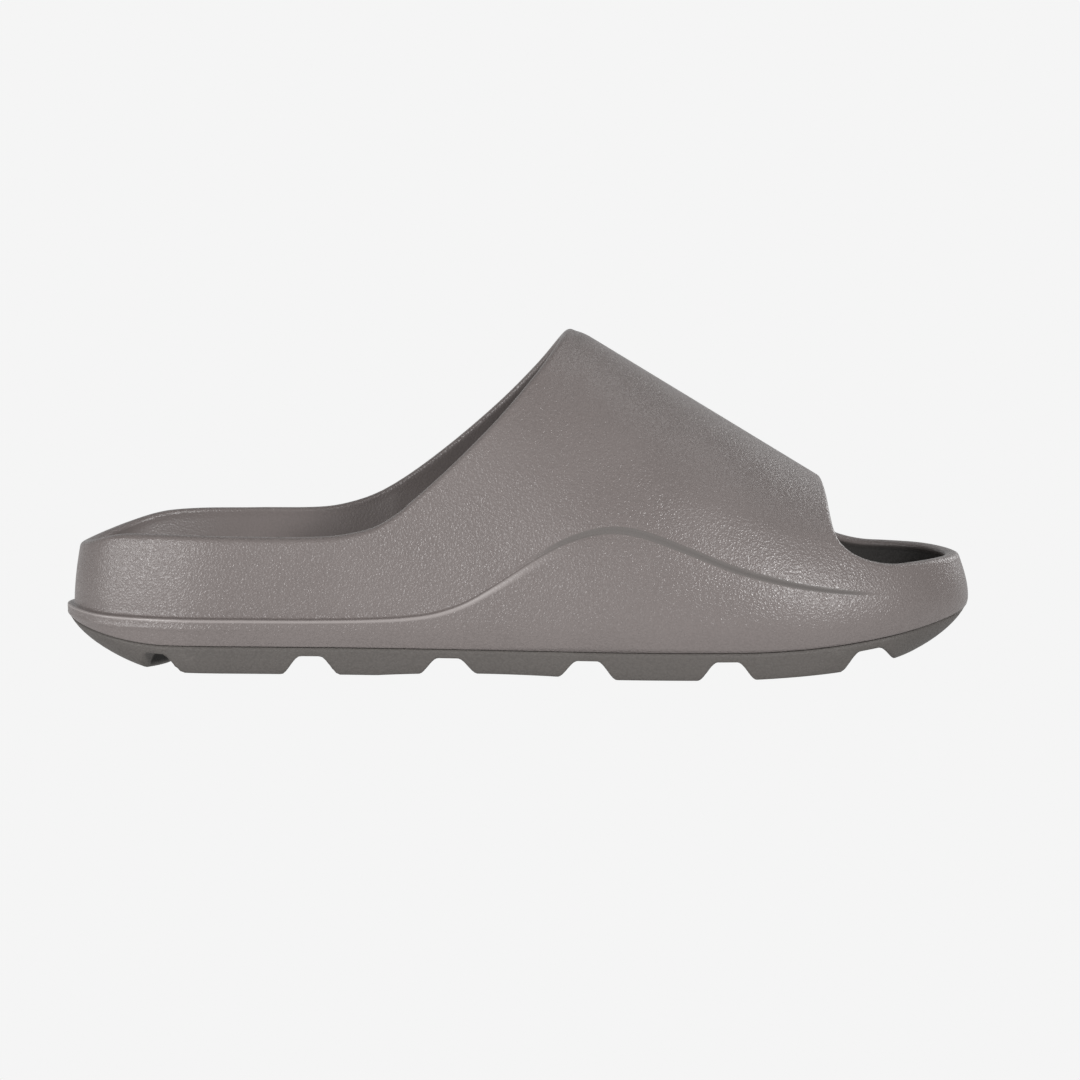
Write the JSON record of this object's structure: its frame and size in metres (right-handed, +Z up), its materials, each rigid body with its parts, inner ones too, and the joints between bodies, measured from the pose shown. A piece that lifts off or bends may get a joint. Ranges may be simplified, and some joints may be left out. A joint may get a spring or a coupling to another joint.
{
  "type": "slide sandal",
  "caption": "Moulded foam slide sandal for the right foot, with one wide closed strap, an open toe and heel, and a grooved outsole.",
  "frame": {"origin": "on the floor, under the middle of the shoe's bounding box", "axes": "+X towards the toe, +Y towards the arch side, -Y towards the outer side, +Z up"},
  "size_m": [0.29, 0.1081, 0.107],
  "materials": {
    "upper": "semi-matte pebbled foam",
    "outsole": "matte",
    "insole": "matte pebbled foam"
  },
  "bodies": {
    "root": {"upper": "upper", "outsole": "outsole", "insole": "insole"}
  },
  "joints": []
}
